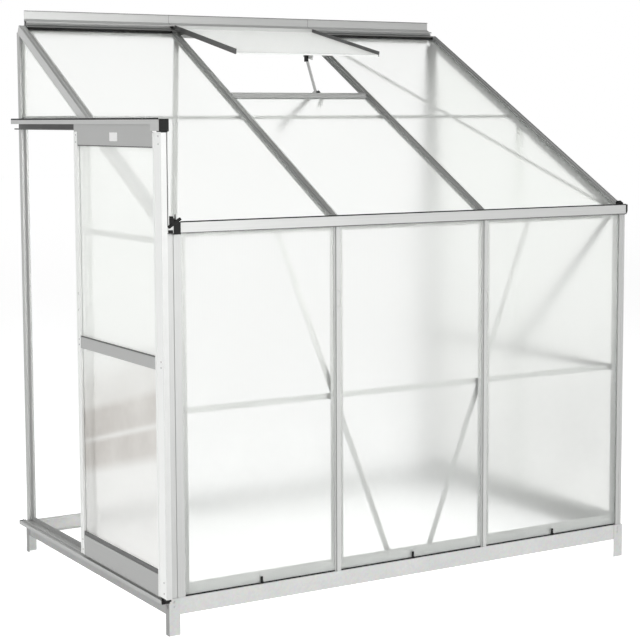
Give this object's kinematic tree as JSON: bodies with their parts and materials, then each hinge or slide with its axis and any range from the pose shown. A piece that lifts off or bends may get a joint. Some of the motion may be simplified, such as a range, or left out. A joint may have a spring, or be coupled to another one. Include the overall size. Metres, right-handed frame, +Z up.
{
  "type": "lean-to greenhouse",
  "caption": "Lean-to greenhouse that stands against a house wall: panelled metal frame on a low base, sliding door in one end, hinged roof vent on a stay.",
  "frame": {"origin": "on the ground, under the middle of the whole object's box", "axes": "+X along the house wall away from the door's gable, +Y towards the house wall, +Z up"},
  "size_m": [1.953, 1.307, 2.085],
  "materials": {
    "aluminium": "satin mill finish",
    "steel": "galvanised sheet",
    "twin_wall": "translucent twin-wall sheet with upright ribs",
    "black_plastic": "black moulded nylon"
  },
  "bodies": {
    "frame": {"base_rail_front": "steel", "base_rail_back": "steel", "base_rail_left": "steel", "base_rail_right": "steel", "base_leg_front_left": "steel", "base_leg_front_right": "steel", "base_leg_back_left": "steel", "base_leg_back_right": "steel", "corner_post_left": "aluminium", "corner_post_right": "aluminium", "wall_post_left": "aluminium", "wall_post_right": "aluminium", "sill_front": "aluminium", "front_bar_left": "aluminium", "front_bar_right": "aluminium", "front_panel_left": "twin_wall", "front_panel_middle": "twin_wall", "front_panel_right": "twin_wall", "front_girt": "aluminium", "front_brace_left": "aluminium", "front_brace_right": "aluminium", "eaves_gutter": "aluminium", "wall_plate": "aluminium", "sill_right": "aluminium", "gable_bar_right": "aluminium", "gable_panel_right_front": "twin_wall", "gable_panel_right_back": "twin_wall", "gable_girt_right": "aluminium", "gable_brace_right": "aluminium", "door_jamb": "aluminium", "door_header": "aluminium", "gable_rail_left": "aluminium", "gable_panel_left_front": "twin_wall", "gable_panel_left_upper": "twin_wall", "threshold": "aluminium", "door_track": "aluminium", "track_support": "aluminium", "vent_sill": "aluminium", "rafter_middle_left": "aluminium", "rafter_gable_left": "aluminium", "rafter_middle_right": "aluminium", "rafter_gable_right": "aluminium", "roof_panel_left": "twin_wall", "roof_panel_middle": "twin_wall", "roof_panel_right": "twin_wall", "purlin": "aluminium", "roof_brace_left": "aluminium", "roof_brace_right": "aluminium"},
    "door": {"door_stile_back": "aluminium", "door_stile_front": "aluminium", "door_rail_top": "aluminium", "door_rail_middle": "aluminium", "door_rail_bottom": "aluminium", "door_panel_upper": "twin_wall", "door_panel_lower": "twin_wall"},
    "roller_back": {"door_roller_back": "black_plastic"},
    "roller_front": {"door_roller_front": "black_plastic"},
    "vent": {"vent_frame": "aluminium", "vent_panel": "twin_wall"},
    "stay": {"vent_stay": "aluminium"}
  },
  "joints": [
    {"name": "door_slide", "type": "slide", "parent": "frame", "child": "door", "axis": [0, 1, 0], "range_m": [0, 0.585]},
    {"name": "roller_back_spin", "type": "hinge", "parent": "door", "child": "roller_back", "pos_m": [-0.95365, -0.0355, 1.6493], "axis": [1, 0, 0], "continuous": true},
    {"name": "roller_front_spin", "type": "hinge", "parent": "door", "child": "roller_front", "pos_m": [-0.95365, -0.5715, 1.6493], "axis": [1, 0, 0], "continuous": true},
    {"name": "vent_hinge", "type": "hinge", "parent": "frame", "child": "vent", "pos_m": [0.0135, 0.6232, 2.03688], "axis": [1, 0, 0], "range_deg": [0, 16.8]},
    {"name": "stay_pivot", "type": "hinge", "parent": "vent", "child": "stay", "pos_m": [0.0515, 0.18783, 1.91655], "axis": [1, 0, 0], "range_deg": [0, 60]}
  ],
  "couplings": [
    {"joint": "roller_back_spin", "follows": "door_slide", "rad_per_m": -90.909},
    {"joint": "roller_front_spin", "follows": "door_slide", "rad_per_m": -90.909}
  ]
}
